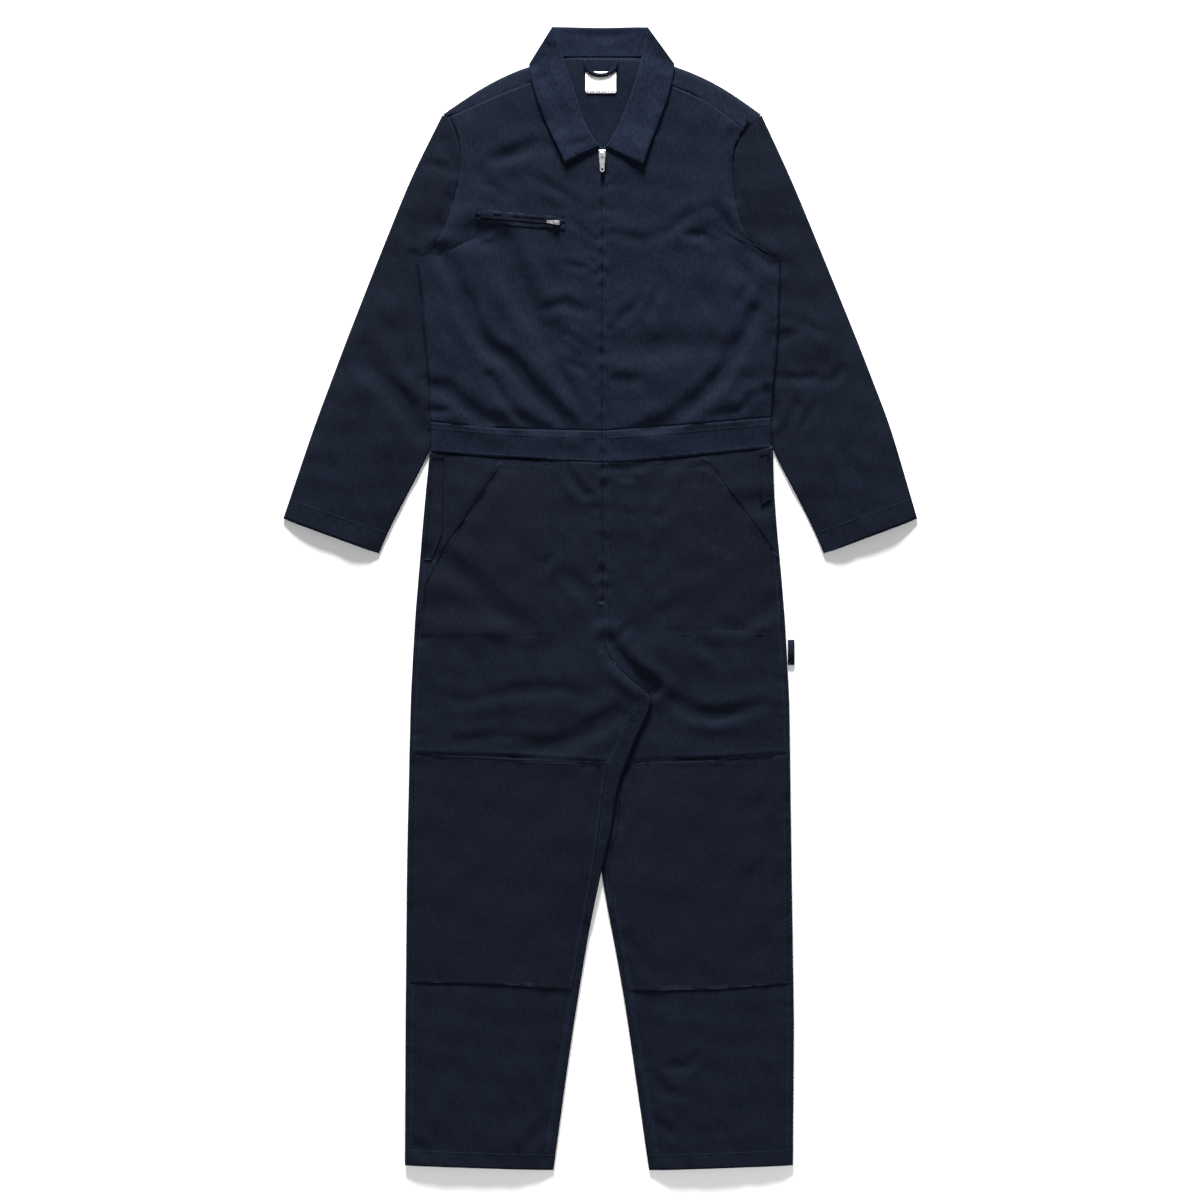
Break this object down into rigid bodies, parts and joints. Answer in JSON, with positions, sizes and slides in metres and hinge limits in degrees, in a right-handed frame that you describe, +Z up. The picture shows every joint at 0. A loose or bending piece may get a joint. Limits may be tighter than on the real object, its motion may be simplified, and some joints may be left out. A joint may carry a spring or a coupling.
{
  "type": "boiler suit",
  "caption": "Long-sleeved boiler suit laid flat on its back, with a concealed front zip, waistband, chest zip pocket, hip pockets and knee patches.",
  "frame": {"origin": "on the surface it lies on, under the middle of its box", "axes": "+Z up from the surface, +Y towards the collar, -X towards the wearer's right sleeve"},
  "size_m": [0.8879, 1.6003, 0.0152],
  "materials": {
    "cotton_drill": "matt drill",
    "patch_drill": "matt drill",
    "zip_tape": "woven tape",
    "label_cloth": "smooth satin",
    "zinc": "polished zinc"
  },
  "bodies": {
    "garment": {"back": "cotton_drill", "waistband_back": "cotton_drill", "front_right": "cotton_drill", "front_left": "cotton_drill", "sleeve_right": "cotton_drill", "sleeve_left": "cotton_drill", "waistband_front_right": "cotton_drill", "waistband_front_left": "cotton_drill", "leg_back_right": "cotton_drill", "leg_back_left": "cotton_drill", "leg_front_right": "cotton_drill", "leg_front_left": "cotton_drill", "collar": "cotton_drill", "hanger_loop": "cotton_drill", "knee_patch_right": "patch_drill", "knee_patch_left": "patch_drill", "hip_pocket_right": "patch_drill", "hip_pocket_left": "patch_drill", "side_placket_right": "patch_drill", "side_placket_left": "patch_drill", "side_tab": "patch_drill", "chest_pocket_welt_upper": "patch_drill", "chest_pocket_welt_lower": "patch_drill", "front_zip_tape": "zip_tape", "chest_pocket_zip_tape": "zip_tape", "neck_label": "label_cloth", "front_zip_slider": "zinc", "chest_zip_slider": "zinc"},
    "front_pull": {"front_zip_pull": "zinc"},
    "pocket_pull": {"chest_zip_pull": "zinc"}
  },
  "joints": [
    {"name": "front_pull_hinge", "type": "hinge", "parent": "garment", "child": "front_pull", "pos_m": [0.003, 0.621, 0.0095], "axis": [-1, 0, 0], "range_deg": [0, 150]},
    {"name": "pocket_pull_hinge", "type": "hinge", "parent": "garment", "child": "pocket_pull", "pos_m": [-0.061, 0.52531, 0.01215], "axis": [0.084, 0.9965, 0], "range_deg": [0, 150]}
  ]
}
